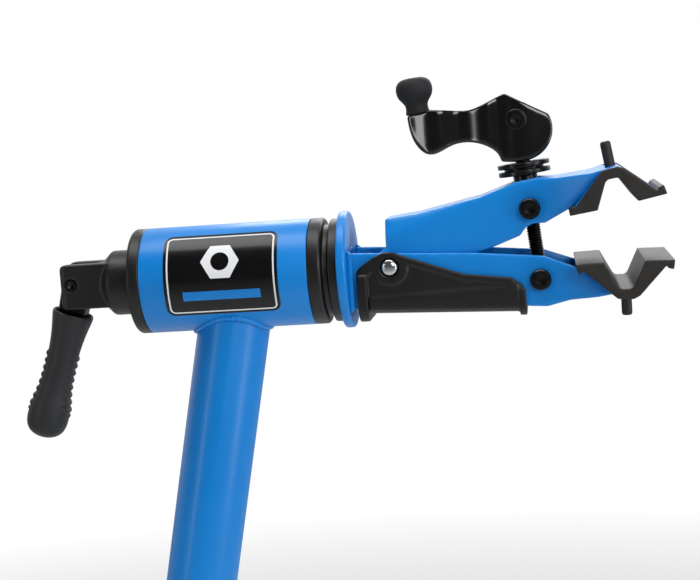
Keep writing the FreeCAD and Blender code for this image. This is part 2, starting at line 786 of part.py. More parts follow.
def beyond_plate():
    """Everything on the gripping side of the lower jaw plate's back face."""
    points = [(180.0, 6.3), (192.2, -4.0), (210.9, -20.3), (219.2, -20.8)]
    points += [(260, -20.8), (260, 60), (180.0, 60)]
    return side_shape(points, -60, 60)


def arm_rivet():
    shank = bar(along_y, rivet_radius, -24.0, 24.0, pivot_x, 0, pivot_z)
    dome = [(23.7, 0), (23.7, 4.6), (25.0, 4.2), (25.9, 2.6), (25.9, 0)]
    near = turned(dome, Vector(pivot_x, 0, pivot_z), along_y)
    far = near.mirror(Vector(pivot_x, 0, pivot_z), along_y)
    return joined(shank, near, far)


def arm_pivot_sleeve():
    return tube(along_y, 5.5, rivet_radius + running_gap, -14.5, 14.5, pivot_x, 0, pivot_z)


def trunnion(half, x, z, bore):
    barrel = bar(along_y, trunnion_radius, -half, half, x, 0, z)
    barrel = round_edges(barrel, 0.8, circles_of(trunnion_radius))
    barrel = barrel.cut(bar(rod_axis, bore, -20, 20, x, 0, z))
    for side in (-1, 1):
        barrel = barrel.cut(bar(along_y * side, screw_radius, half - 9, half + 1, x, 0, z))
    return barrel


def trunnion_screws(barrel_half, arm_half, x, z):
    """One socket head screw in each end of a trunnion."""
    head_low = arm_half + moving_gap
    screws = []
    for side in (-1, 1):
        out = along_y * side
        shank = bar(out, screw_radius, barrel_half - 9, head_low, x, 0, z)
        head = turned([(head_low, 0), (head_low, 5.75), (head_low + 3.6, 5.75), (head_low + 4.4, 5.0),
                       (head_low + 4.4, 0)], Vector(x, 0, z), out)
        head = head.cut(hexagon(5.0, out, head_low + 1.6, head_low + 5, x, 0, z))
        screws.append(joined(shank, head))
    return Part.makeCompound(screws)


# ---------------------------------------------------------------- grip shell

shell_half = 23.6


def grip_shell():
    """Plastic cover that wraps the lower arm from below, held by the rivet."""
    top = [(94.9, 8.2), (129.0, -4.1), (154.9, -7.55), (160.8, -12.1), (161.6, -27.2)]
    outline = [(69.7, -23.5), (69.7, 0.4), (72.0, 2.9), (79.6, 7.8), (85.0, 10.2), (91.0, 10.2)] + top
    body = side_shape(outline, -shell_half, shell_half)

    def low_corner(edge):
        middle = edge.CenterOfMass
        return middle.z < -20 and abs(abs(middle.y) - shell_half) < 0.01 and edge.Length > 50
    def low_end(edge):
        return runs_along(edge, along_x) and edge.CenterOfMass.z < -20

    body = round_edges(body, 6.5, low_corner)
    panel = [(75.2, -40), (75.2, -3.0), (80.0, 1.0), (96.5, 3.5), (129.6, -8.0)]
    panel += [(154.2, -11.4), (157.8, -14.5), (158.4, -40)]
    for side in (-1, 1):
        low, high = sorted((side * (shell_half - 1.1), side * 40))
        recess = side_shape(panel, low, high)
        recess = recess.cut(bar(along_y, 10.0, -50, 50, pivot_x, 0, pivot_z))
        body = body.cut(recess)
    flange_rear = block((69.7, 75.2), (-shell_half - 1.4, shell_half + 1.4), (-28.4, -2.0))
    flange_rear = round_edges(flange_rear, 9, low_end)
    flange_tip = block((158.4, 162.3), (-shell_half, shell_half), (-29.2, -14.0))
    flange_tip = round_edges(flange_tip, 6.5, low_end)
    body = body.fuse(flange_rear).fuse(flange_tip)
    body = body.cut(lower_arm_outside())
    body = body.cut(block((60, 170), (-lower_half, lower_half), (-15, 40)))
    body = body.cut(bar(along_y, rivet_radius, -30, 30, pivot_x, 0, pivot_z))
    for side in (-1, 1):
        seat = bar(along_y * side, 5.2, shell_half - 1.4, shell_half + 6, pivot_x, 0, pivot_z)
        body = body.cut(seat)
    return body.removeSplitter()


# ---------------------------------------------------------------- rod, washers, lever

def clamp_rod():
    """Threaded rod, from below the lower trunnion to its eye in the lever."""
    eye_x, eye_z = on_rod(lever_pivot_along)
    shank = rod_part(rod_radius, 0, -trunnion_gap - 11.5, lever_pivot_along - 3)
    eye = bar(along_y, 7.4, -4.2, 4.2, eye_x, 0, eye_z)
    return joined(shank, eye).cut(bar(along_y, screw_radius + running_gap, -9, 9, eye_x, 0, eye_z))


washer_bore = rod_radius + 0.08


def seat_collar():
    return rod_part(6.7, washer_bore, trunnion_radius + 0.5, 18.3)


def thrust_washer(start):
    ring = rod_part(14.4, washer_bore, start, start + 2.6)
    return round_edges(ring, 0.5, circles_of(14.4))


def thrust_bearing():
    return rod_part(11.0, washer_bore, 20.9, 22.4)


def cam_lever():
    """Lever with a cam foot: pressed shut as drawn, open when its tail points up."""
    pivot = on_rod(lever_pivot_along)
    half = 11.0

    def at(spot):
        return Vector(spot[0], -half, spot[1])

    def cam(degrees, reach):
        turn = math.radians(degrees)
        return (pivot[0] + reach * math.cos(turn), pivot[1] + reach * math.sin(turn))

    heel = (152.6, 55.0)
    peak = (156.4, 92.6)
    cam_low = cam(-90, cam_reach)
    cam_mid = cam(-62, cam_reach)
    cam_side = cam(-25, 21.3)
    cam_high = cam(7, 17.9)
    edges = [
        Part.LineSegment(at(heel), at(cam_low)).toShape(),
        Part.Arc(at(cam_low), at(cam(-76, cam_reach)), at(cam_mid)).toShape(),
        Part.Arc(at(cam_mid), at(cam_side), at(cam_high)).toShape(),
        Part.LineSegment(at(cam_high), at(peak)).toShape()]
    tail_top = (115.2, 86.5)
    tail_end = (101.9, 83.8)
    over = Part.BSplineCurve()
    over.interpolate([at(peak), at((146.0, 88.2)), at((136.8, 85.0)), at((127.9, 85.2)), at(tail_top)])
    edges.append(over.toShape())
    edges.append(Part.LineSegment(at(tail_top), at(tail_end)).toShape())
    tail_foot = [(103.2, 74.6), (107.2, 66.0), (113.4, 61.6), (118.5, 62.4)]
    hollow = [(124.6, 65.3), (132.0, 67.0), (139.2, 66.4), (146.0, 63.8), (150.2, 60.6)]
    under = Part.BSplineCurve()
    under.interpolate([at(tail_end)] + [at(spot) for spot in tail_foot + hollow] + [at(heel)])
    edges.append(under.toShape())
    body = Part.Face(Part.Wire(edges)).extrude(Vector(0, 2 * half, 0))
    narrowing = plan_shape(both_sides([(98, 8.2), (150, half), (190, half)]), 40, 110)
    body = body.common(narrowing)
    slot = block((pivot[0] - 8.3, 200), (-4.5, 4.5), (pivot[1] - 40, pivot[1] + 8.3))
    body = body.cut(slot)
    body = body.cut(bar(along_y, screw_radius, -20, 20, pivot[0], 0, pivot[1]))
    stud_x, stud_z = knob_base
    body = body.cut(bar(rod_axis, 3.0, -12, 20, stud_x, 0, stud_z))
    return body


def lever_screw():
    x, z = on_rod(lever_pivot_along)
    shank = bar(along_y, screw_radius, -11.0, 11.0, x, 0, z)
    near_head = [(11.0, 0), (11.0, 6.1), (13.4, 6.1), (14.2, 5.4), (14.2, 0)]
    near = turned(near_head, Vector(x, 0, z), along_y * -1)
    near = near.cut(hexagon(4.0, along_y * -1, 12.4, 15, x, 0, z))
    far = turned([(11.0, 0), (11.0, 5.4), (13.0, 5.4), (13.6, 4.8), (13.6, 0)], Vector(x, 0, z), along_y)
    return joined(shank, near, far)


def knob_stud():
    x, z = knob_base
    return bar(rod_axis, 3.0, -12, 13.5, x, 0, z)


def spin_knob():
    """Rubber knob that turns on its stud."""
    x, z = knob_base
    start = Vector(x, 0, z)

    def at(run, radius):
        return start + rod_axis * run + along_y * radius

    low = 1.9
    top = 20.0
    side = Part.BSplineCurve()
    side.interpolate([at(low, 6.3), at(5.0, 6.5), at(8.6, 8.2), at(13.6, 9.9), at(17.4, 9.0), at(19.4, 6.6)])
    edges = [Part.LineSegment(at(low, 0), at(low, 6.3)).toShape(), side.toShape()]
    edges.append(Part.Arc(at(19.4, 6.6), at(19.85, 5.2), at(top, 3.8)).toShape())
    edges.append(Part.LineSegment(at(top, 3.8), at(top, 0)).toShape())
    edges.append(Part.LineSegment(at(top, 0), at(low, 0)).toShape())
    body = Part.Face(Part.Wire(edges)).revolve(start, rod_axis, 360)
    return body.cut(bar(rod_axis, 3.0 + running_gap, 0, 13.8, x, 0, z))


# ---------------------------------------------------------------- the whole stand

def all_parts():
    parts = {
        "lower_post": on_post(lower_post()),
        "post_foot": post_foot(),
        "upper_post": upper_post(),
        "post_glide": on_post(post_glide()),
        "collar_bushing": on_post(collar_bushing()),
        "post_collar": on_post(post_collar()),
        "collar_bolt": on_post(collar_bolt()),
        "collar_nut": on_post(collar_nut()),
        "collar_lever": on_post(collar_lever()),
        "leg_hub": leg_hub(),
        "leg_pivot_bolts": leg_pivot_bolts(),
        "head_weld": head_weld(),
    }
    for name, side in (("left", 1), ("right", -1)):
        parts["leg_end_" + name] = leg_end(side)
        parts["leg_tube_" + name] = leg_tube(side)
        parts["leg_foot_" + name] = leg_foot(side)
        parts["leg_knob_" + name] = leg_knob(side)
    in_head_parts = {
        "head_tube": head_tube(),
        "rear_bearing_cap": rear_bearing_cap(),
        "front_bearing_cap": front_bearing_cap(),
        "head_label": label(-37.9, 26.8, -37, 57, head_radius, head_radius + 0.3, 5.0),
        "spindle_shaft": spindle_shaft(),
        "friction_washer": friction_washer(),
        "spindle_flange": spindle_flange(),
        "flange_weld": flange_weld(),
        "lower_arm": lower_arm(),
        "grip_shell": grip_shell(),
        "arm_rivet": arm_rivet(),
        "lower_jaw_plate": jaw_plate_solid(),
        "lower_jaw_cover": jaw_cover_solid(),
        "upper_arm": upper_arm(),
        "arm_pivot_sleeve": arm_pivot_sleeve(),
        "upper_jaw_plate": as_upper_jaw(jaw_plate_solid()),
        "upper_jaw_cover": as_upper_jaw(jaw_cover_solid()),
        "upper_trunnion": trunnion(14.3, upper_trunnion_x, upper_trunnion_z, 5.2),
        "upper_trunnion_screws": trunnion_screws(14.3, upper_half, upper_trunnion_x, upper_trunnion_z),
        "lower_trunnion": trunnion(17.7, lower_trunnion_x, lower_trunnion_z, rod_radius + running_gap),
        "lower_trunnion_screws": trunnion_screws(17.7, lower_half, lower_trunnion_x, lower_trunnion_z),
        "clamp_rod": clamp_rod(),
        "seat_collar": seat_collar(),
        "lower_thrust_washer": thrust_washer(18.3),
        "thrust_bearing": thrust_bearing(),
        "upper_thrust_washer": thrust_washer(22.4),
        "cam_lever": cam_lever(),
        "lever_screw": lever_screw(),
        "knob_stud": knob_stud(),
        "spin_knob": spin_knob(),
        "handle_block": handle_block(),
        "crank_pin": crank_pin(),
        "handle_tongue": handle_tongue(),
        "handle_grip": handle_grip(),
    }
    for name, shape in in_head_parts.items():
        parts[name] = in_head(shape)
    return parts


def main():
    os.makedirs("parts", exist_ok=True)
    for name, shape in all_parts().items():
        if not shape.isValid():
            print("not valid:", name)
        print(name, "solids", len(shape.Solids), "volume", round(shape.Volume))
        shape.exportStep(os.path.join("parts", name + ".step"))
    print("head at", round(head_x, 3), head_height, "leg drop", round(leg_drop, 3))
    for name, spot in (("upper trunnion", on_rod(0)), ("lower trunnion", on_rod(-trunnion_gap)),
                       ("lever pivot", on_rod(lever_pivot_along))):
        print(name, [round(value, 3) for value in spot])


main()
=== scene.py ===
import json
import math

import bpy
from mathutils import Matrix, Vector

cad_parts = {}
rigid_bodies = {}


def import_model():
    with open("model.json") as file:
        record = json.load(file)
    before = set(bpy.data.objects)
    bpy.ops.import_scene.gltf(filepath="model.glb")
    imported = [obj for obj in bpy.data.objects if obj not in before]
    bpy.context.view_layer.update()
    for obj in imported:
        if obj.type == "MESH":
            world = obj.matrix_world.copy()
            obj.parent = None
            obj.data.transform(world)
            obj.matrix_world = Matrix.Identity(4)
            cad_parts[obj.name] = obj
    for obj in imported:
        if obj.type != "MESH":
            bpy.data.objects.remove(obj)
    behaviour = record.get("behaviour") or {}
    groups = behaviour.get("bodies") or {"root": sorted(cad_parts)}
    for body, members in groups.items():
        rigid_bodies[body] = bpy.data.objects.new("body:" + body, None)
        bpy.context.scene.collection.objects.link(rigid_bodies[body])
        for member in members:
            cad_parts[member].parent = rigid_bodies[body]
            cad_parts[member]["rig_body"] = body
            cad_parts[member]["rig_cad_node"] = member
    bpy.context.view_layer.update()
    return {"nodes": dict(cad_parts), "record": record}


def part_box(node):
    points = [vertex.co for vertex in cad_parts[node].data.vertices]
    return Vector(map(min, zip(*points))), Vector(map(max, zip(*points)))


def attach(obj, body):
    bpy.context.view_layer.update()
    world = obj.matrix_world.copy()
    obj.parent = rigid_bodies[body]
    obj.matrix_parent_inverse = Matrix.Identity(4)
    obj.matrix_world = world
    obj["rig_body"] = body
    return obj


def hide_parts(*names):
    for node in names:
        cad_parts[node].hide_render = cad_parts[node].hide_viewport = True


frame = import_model()
nodes = frame["nodes"]
print("frame loaded:", len(nodes), "nodes")

# The head's own measures are taken from the middle of the head tube, in millimetres.
headTube = {"rear": -52.5, "radius": 30.15}
headLow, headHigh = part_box("head_tube")
headCentre = Vector((headLow.x - headTube["rear"] / 1000, 0.0, (headLow.z + headHigh.z) / 2))
alongX = Vector((1, 0, 0))
alongY = Vector((0, 1, 0))


def spot(x, y, z):
    return headCentre + Vector((x, y, z)) / 1000


# the camera stands in front of the head and a little above it, metres from the head's middle
camera = {"away": (0.17791, -0.84661, 0.08269), "azimuth": 7.765, "elevation": 6.321, "roll": 4.116,
          "lens": 77.66, "sensor": 36.0}


def makeCamera():
    turn = math.radians(camera["azimuth"])
    rise = math.radians(camera["elevation"])
    roll = math.radians(camera["roll"])
    back = Vector((math.sin(turn) * math.cos(rise), -math.cos(turn) * math.cos(rise), math.sin(rise)))
    right = Vector((math.cos(turn), math.sin(turn), 0))
    up = back.cross(right)
    tiltedRight = right * math.cos(roll) - up * math.sin(roll)
    tiltedUp = right * math.sin(roll) + up * math.cos(roll)
    bpy.ops.object.camera_add()
    made = bpy.context.object
    made.name = "camera"
    made.data.lens = camera["lens"]
    made.data.sensor_width = camera["sensor"]
    made.data.clip_start = 0.01
    made.data.clip_end = 60
    place = made.matrix_world.copy()
    for row in range(3):
        place[row][0] = tiltedRight[row]
        place[row][1] = tiltedUp[row]
        place[row][2] = back[row]
        place[row][3] = headCentre[row] + camera["away"][row]
    made.matrix_world = place
    bpy.context.scene.camera = made


# soft studio lights: sizes and places in metres from the head's middle, power in watts
softboxes = {
    "keySoftbox": {"size": (0.7, 0.9), "at": (1.0, -1.6, 0.75), "power": 13},
    "topSoftbox": {"size": (1.8, 0.8), "at": (0.0, -0.25, 1.5), "power": 21},
    "leftSoftbox": {"size": (0.2, 1.3), "at": (-1.5, -1.3, 0.2), "power": 5},
    "rightSoftbox": {"size": (0.5, 1.6), "at": (1.7, -0.8, 0.1), "power": 12},
    "backSoftbox": {"size": (1.4, 0.7), "at": (0.3, 1.6, 1.0), "power": 14},
}


def makeLights():
    aim = headCentre + Vector((0.08, 0, 0))
    for name, box in softboxes.items():
        place = headCentre + Vector(box["at"])
        bpy.ops.object.light_add(type="AREA", location=place)
        light = bpy.context.object
        light.name = name
        light.data.shape = "RECTANGLE"
        light.data.size, light.data.size_y = box["size"]
        light.data.energy = box["power"]
        light.rotation_euler = (aim - place).to_track_quat("-Z", "Y").to_euler()


def linear(code):
    parts = [int(code[i:i + 2], 16) / 255 for i in (1, 3, 5)]
    return tuple(c / 12.92 if c <= 0.04045 else ((c + 0.055) / 1.055) ** 2.4 for c in parts) + (1.0,)


def addNode(tree, kind, settings=None, links=None):
    node = tree.nodes.new(kind)
    for key, value in (settings or {}).items():
        if isinstance(key, str) and hasattr(node, key):
            setattr(node, key, value)
        else:
            node.inputs[key].default_value = value
    for key, source in (links or {}).items():
        tree.links.new(source, node.inputs[key])
    return node


def startMaterial(name, settings):
    made = bpy.data.materials.new(name)
    made.use_nodes = True
    tree = made.node_tree
    shader = tree.nodes["Principled BSDF"]
    for key, value in settings.items():
        shader.inputs[key].default_value = value
    place = addNode(tree, "ShaderNodeTexCoord").outputs["Object"]
    return made, tree, shader, place


def perMetre(millimetres):
    return 1000 / millimetres


def addBump(tree, shader, height, strength, depth):
    bump = addNode(tree, "ShaderNodeBump", {"Strength": strength, "Distance": depth / 1000},
                   {"Height": height})
    tree.links.new(bump.outputs["Normal"], shader.inputs["Normal"])


# Powder coat: plastic baked on steel, so a satin skin with a fine orange peel, and the colour pools a little.
powderCoat = {"light": "#0A84D6", "dark": "#0078CA", "roughness": 0.36, "peelMm": 1.6, "poolMm": 45}


def makePowderCoat():
    made, tree, shader, place = startMaterial("satin powder-coated steel", {
        "Roughness": powderCoat["roughness"], "Specular IOR Level": 0.35, "Coat Weight": 0.08,
        "Coat Roughness": 0.2})
    pool = addNode(tree, "ShaderNodeTexNoise", {"Scale": perMetre(powderCoat["poolMm"]), "Detail": 3},
                   {0: place})
    colour = addNode(tree, "ShaderNodeMix", {"data_type": "RGBA", 6: linear(powderCoat["dark"]),
                                             7: linear(powderCoat["light"])}, {0: pool.outputs["Fac"]})
    tree.links.new(colour.outputs[2], shader.inputs["Base Color"])
    peel = addNode(tree, "ShaderNodeTexNoise", {"Scale": perMetre(powderCoat["peelMm"]), "Detail": 1.5},
                   {0: place})
    rough = addNode(tree, "ShaderNodeMapRange", {"To Min": powderCoat["roughness"] - 0.05,
                                                 "To Max": powderCoat["roughness"] + 0.05},
                                                 {0: pool.outputs["Fac"]})
    tree.links.new(rough.outputs[0], shader.inputs["Roughness"])
    addBump(tree, shader, peel.outputs["Fac"], 0.35, 0.05)
    return made


# Glass-filled nylon: moulded in a spark-eroded tool, so an even fine grain and a dull shine. The real grain of
# this and the other moulded finishes is nearer 0.15 mm, and is drawn coarser so that it shows.
mouldedNylon = {"light": "#12100F", "dark": "#0B0A09", "shine": 0.42, "roughness": 0.42, "grainMm": 0.55,
                "flowMm": 30}
# Painted or glossy moulded black: deep colour, sharp highlights and very slight waviness.
glossBlack = {"light": "#070607", "dark": "#040404", "shine": 0.5, "roughness": 0.15, "grainMm": 6.0,
              "flowMm": 25}
# Handled nylon: the grain is polished by the hand, so it is greyer with a broad soft shine.
handledNylon = {"light": "#2A2A2C", "dark": "#1E1E20", "shine": 0.35, "roughness": 0.5, "grainMm": 0.9,
                "flowMm": 18}
# Hard urethane of the jaw covers: charcoal, dull, faintly mottled.
urethane = {"light": "#2C2927", "dark": "#211F1D", "shine": 0.32, "roughness": 0.5, "grainMm": 0.7,
            "flowMm": 14}
# Moulded rubber: grey with handling, wide soft highlights.
rubber = {"light": "#29292B", "dark": "#1F1F21", "shine": 0.2, "roughness": 0.62, "grainMm": 0.6,
          "flowMm": 12}
# Die casting with a black electro-coat: satin, with the soft ripple of the casting under it.
castAlloy = {"light": "#161516", "dark": "#0E0E0F", "shine": 0.3, "roughness": 0.38, "grainMm": 1.2,
             "flowMm": 20}


def makeMoulded(name, facts, strength, coat=0.0):
    made, tree, shader, place = startMaterial(name, {"Coat Weight": coat, "Coat Roughness": 0.06,
                                                     "Specular IOR Level": facts["shine"]})
    flow = addNode(tree, "ShaderNodeTexNoise", {"Scale": perMetre(facts["flowMm"]), "Detail": 4}, {0: place})
    colour = addNode(tree, "ShaderNodeMix", {"data_type": "RGBA", 6: linear(facts["dark"]),
                                             7: linear(facts["light"])}, {0: flow.outputs["Fac"]})
    tree.links.new(colour.outputs[2], shader.inputs["Base Color"])
    rough = addNode(tree, "ShaderNodeMapRange", {"To Min": facts["roughness"] - 0.06,
                                                 "To Max": facts["roughness"] + 0.06},
                                                 {0: flow.outputs["Fac"]})
    tree.links.new(rough.outputs[0], shader.inputs["Roughness"])
    grain = addNode(tree, "ShaderNodeTexNoise", {"Scale": perMetre(facts["grainMm"]), "Detail": 2},
                    {0: place})
    addBump(tree, shader, grain.outputs["Fac"], strength, 0.06)
    return made


# Steel parts: machined, then blackened or zinc plated, with faint tool marks and mottling. Real tool marks are
# nearer 0.1 mm apart, and are drawn coarser so that they show.
blackOxide = {"light": "#3A393A", "dark": "#222122", "roughness": 0.27, "markMm": 0.5, "relief": 0.15}
zincPlate = {"light": "#D9DBDE", "dark": "#AEB2B8", "roughness": 0.2, "markMm": 1.2, "relief": 0.04}


def makeSteel(name, facts):
    made, tree, shader, place = startMaterial(name, {"Metallic": 1.0})
    mottle = addNode(tree, "ShaderNodeTexNoise", {"Scale": perMetre(8), "Detail": 5}, {0: place})
    colour = addNode(tree, "ShaderNodeMix", {"data_type": "RGBA", 6: linear(facts["dark"]),
                                             7: linear(facts["light"])}, {0: mottle.outputs["Fac"]})
    tree.links.new(colour.outputs[2], shader.inputs["Base Color"])
    marks = addNode(tree, "ShaderNodeTexNoise", {"Scale": perMetre(facts["markMm"]), "Detail": 3}, {0: place})
    rough = addNode(tree, "ShaderNodeMapRange", {"To Min": facts["roughness"] - 0.08,
                                                 "To Max": facts["roughness"] + 0.1},
                                                 {0: marks.outputs["Fac"]})
    tree.links.new(rough.outputs[0], shader.inputs["Roughness"])
    addBump(tree, shader, marks.outputs["Fac"], facts["relief"], 0.02)
    return made


# Printed film: gloss black with a pale keyline, a blue band and a plain hexagon nut.
labelFilm = {"black": "#0B0B0C", "pale": "#E4E6E8", "blue": "#0A7CCB", "corner": 5.0, "inset": 2.2,
             "line": 0.9, "nutAcross": 19.0, "nutHole": 5.2, "nutUp": 6.5, "bandUp": -12.5, "bandHalf": 2.6,
             "bandReach": 22.0}


def makeLabelFilm():
    facts = labelFilm
    low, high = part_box("head_label")
    middle = (low + high) / 2
    halfLength = (high.x - low.x) * 500
    wrapRadius = headTube["radius"]
    lowTurn = math.asin((low.z - headCentre.z) * 1000 / wrapRadius)
    highTurn = math.asin(min(1, (high.z - headCentre.z) * 1000 / (wrapRadius + 0.3)))
    halfWrap = wrapRadius * (highTurn - lowTurn) / 2
    middleTurn = (highTurn + lowTurn) / 2
    made, tree, shader, place = startMaterial("printed polyester film",
                                              {"Coat Weight": 0.1, "Specular IOR Level": 0.3})
    apart = addNode(tree, "ShaderNodeSeparateXYZ", {}, {0: place})
    # millimetres along the tube and round it, from the middle of the label
    along = addNode(tree, "ShaderNodeMath", {"operation": "MULTIPLY_ADD", 1: 1000, 2: -middle.x * 1000},
                    {0: apart.outputs["X"]})
    rise = addNode(tree, "ShaderNodeMath", {"operation": "SUBTRACT", 1: headCentre.z},
                   {0: apart.outputs["Z"]})
    out = addNode(tree, "ShaderNodeMath", {"operation": "MULTIPLY", 1: -1}, {0: apart.outputs["Y"]})
    turn = addNode(tree, "ShaderNodeMath", {"operation": "ARCTAN2"}, {0: rise.outputs[0], 1: out.outputs[0]})
    wrap = addNode(tree, "ShaderNodeMath", {"operation": "MULTIPLY_ADD", 1: wrapRadius,
                                            2: -wrapRadius * middleTurn},
                   {0: turn.outputs[0]})
    # hexagon nut
    nutSide = addNode(tree, "ShaderNodeMath", {"operation": "ABSOLUTE"}, {0: along.outputs[0]})
    nutRise = addNode(tree, "ShaderNodeMath", {"operation": "SUBTRACT", 1: facts["nutUp"]},
                      {0: wrap.outputs[0]})
    nutTall = addNode(tree, "ShaderNodeMath", {"operation": "ABSOLUTE"}, {0: nutRise.outputs[0]})
    halfTall = addNode(tree, "ShaderNodeMath", {"operation": "MULTIPLY", 1: 0.5}, {0: nutTall.outputs[0]})
    slope = addNode(tree, "ShaderNodeMath", {"operation": "MULTIPLY_ADD", 1: 0.866},
                    {0: nutSide.outputs[0], 2: halfTall.outputs[0]})
    flats = addNode(tree, "ShaderNodeMath", {"operation": "MAXIMUM"},
                    {0: slope.outputs[0], 1: nutTall.outputs[0]})
    inNut = addNode(tree, "ShaderNodeMath", {"operation": "LESS_THAN", 1: facts["nutAcross"] / 2},
                    {0: flats.outputs[0]})
    nutSpot = addNode(tree, "ShaderNodeCombineXYZ", {}, {0: nutSide.outputs[0], 1: nutTall.outputs[0]})
    nutFar = addNode(tree, "ShaderNodeVectorMath", {"operation": "LENGTH"}, {0: nutSpot.outputs[0]})
    pastHole = addNode(tree, "ShaderNodeMath", {"operation": "GREATER_THAN", 1: facts["nutHole"]},
                       {0: nutFar.outputs["Value"]})
    nut = addNode(tree, "ShaderNodeMath", {"operation": "MULTIPLY"},
                  {0: inNut.outputs[0], 1: pastHole.outputs[0]})
    # keyline: how far a spot lies outside the label's straight-sided core
    wrapSize = addNode(tree, "ShaderNodeMath", {"operation": "ABSOLUTE"}, {0: wrap.outputs[0]})
    pastSide = addNode(tree, "ShaderNodeMath", {"operation": "SUBTRACT", 1: halfLength - facts["corner"]},
                       {0: nutSide.outputs[0]})
    pastTop = addNode(tree, "ShaderNodeMath", {"operation": "SUBTRACT", 1: halfWrap - facts["corner"]},
                      {0: wrapSize.outputs[0]})
    sideOut = addNode(tree, "ShaderNodeMath", {"operation": "MAXIMUM", 1: 0}, {0: pastSide.outputs[0]})
    topOut = addNode(tree, "ShaderNodeMath", {"operation": "MAXIMUM", 1: 0}, {0: pastTop.outputs[0]})
    rimSpot = addNode(tree, "ShaderNodeCombineXYZ", {}, {0: sideOut.outputs[0], 1: topOut.outputs[0]})
    rimFar = addNode(tree, "ShaderNodeVectorMath", {"operation": "LENGTH"}, {0: rimSpot.outputs[0]})
    keyline = addNode(tree, "ShaderNodeMath", {"operation": "COMPARE", 1: facts["corner"] - facts["inset"],
                                               2: facts["line"] / 2}, {0: rimFar.outputs["Value"]})
    # blue band under the nut
    inBand = addNode(tree, "ShaderNodeMath", {"operation": "COMPARE", 1: facts["bandUp"],
                                              2: facts["bandHalf"]},
                     {0: wrap.outputs[0]})
    bandEnds = addNode(tree, "ShaderNodeMath", {"operation": "LESS_THAN", 1: facts["bandReach"]},
                       {0: nutSide.outputs[0]})
    band = addNode(tree, "ShaderNodeMath", {"operation": "MULTIPLY"},
                   {0: inBand.outputs[0], 1: bandEnds.outputs[0]})
    pale = addNode(tree, "ShaderNodeMath", {"operation": "MAXIMUM"},
                   {0: nut.outputs[0], 1: keyline.outputs[0]})
    banded = addNode(tree, "ShaderNodeMix", {"data_type": "RGBA", 6: linear(facts["black"]),
                                             7: linear(facts["blue"])}, {0: band.outputs[0]})
    printed = addNode(tree, "ShaderNodeMix", {"data_type": "RGBA", 7: linear(facts["pale"])},
                      {0: pale.outputs[0], 6: banded.outputs[2]})
    tree.links.new(printed.outputs[2], shader.inputs["Base Color"])
    # the film ripples very slightly over the coat below
    ripple = addNode(tree, "ShaderNodeTexNoise", {"Scale": perMetre(5), "Detail": 2}, {0: place})
    rough = addNode(tree, "ShaderNodeMapRange", {"To Min": 0.16, "To Max": 0.28}, {0: ripple.outputs["Fac"]})
    tree.links.new(rough.outputs[0], shader.inputs["Roughness"])
    addBump(tree, shader, ripple.outputs["Fac"], 0.1, 0.05)
    return made


coat = makePowderCoat()
nylon = makeMoulded("moulded glass-filled nylon", mouldedNylon, 0.35)
gripNylon = makeMoulded("hand-polished nylon", handledNylon, 0.3)
gloss = makeMoulded("gloss black painted steel", glossBlack, 0.01, 0.5)
jawCover = makeMoulded("moulded urethane", urethane, 0.3)
softRubber = makeMoulded("moulded rubber", rubber, 0.35)
casting = makeMoulded("electro-coated die casting", castAlloy, 0.15)
darkSteel = makeSteel("black oxide steel", blackOxide)
zinc = makeSteel("zinc-plated steel", zincPlate)
film = makeLabelFilm()
finishes = {"blue_powder_coat": coat, "black_plastic": nylon, "jaw_polymer": jawCover,
            "black_rubber": softRubber,
            "gloss_black": gloss, "black_cast_alloy": casting, "black_oxide_steel": darkSteel,
            "zinc_steel": zinc, "label_film": film}
print("materials made:", len(finishes))


def paint(thing, material):
    thing.data.materials.clear()
    thing.data.materials.append(material)


makeCamera()
makeLights()


def layFloor():
    bpy.ops.object.select_all(action="DESELECT")
    bpy.ops.mesh.primitive_circle_add(vertices=96, radius=14, fill_type="NGON")
    floor = bpy.context.object
    floor.name = "studio-floor"
    made, tree, shader, place = startMaterial("pale studio floor", {"Base Color": linear("#EDEDEB"),
                                                                    "Roughness": 0.7})
    # far from the stand the floor melts into the white of the room
    apart = addNode(tree, "ShaderNodeVectorMath", {"operation": "LENGTH"}, {0: place})
    melt = addNode(tree, "ShaderNodeMapRange", {"From Min": 1.6, "From Max": 3.6},
                   {0: apart.outputs["Value"]})
    ray = addNode(tree, "ShaderNodeLightPath").outputs["Is Camera Ray"]
    share = addNode(tree, "ShaderNodeMath", {"operation": "MULTIPLY"}, {0: melt.outputs[0], 1: ray})
    white = addNode(tree, "ShaderNodeEmission", {"Color": (1, 1, 1, 1), "Strength": 1.0})
    mixed = addNode(tree, "ShaderNodeMixShader", {}, {0: share.outputs[0], 1: shader.outputs[0],
                                                      2: white.outputs[0]})
    tree.links.new(mixed.outputs[0], tree.nodes["Material Output"].inputs["Surface"])
    paint(floor, made)


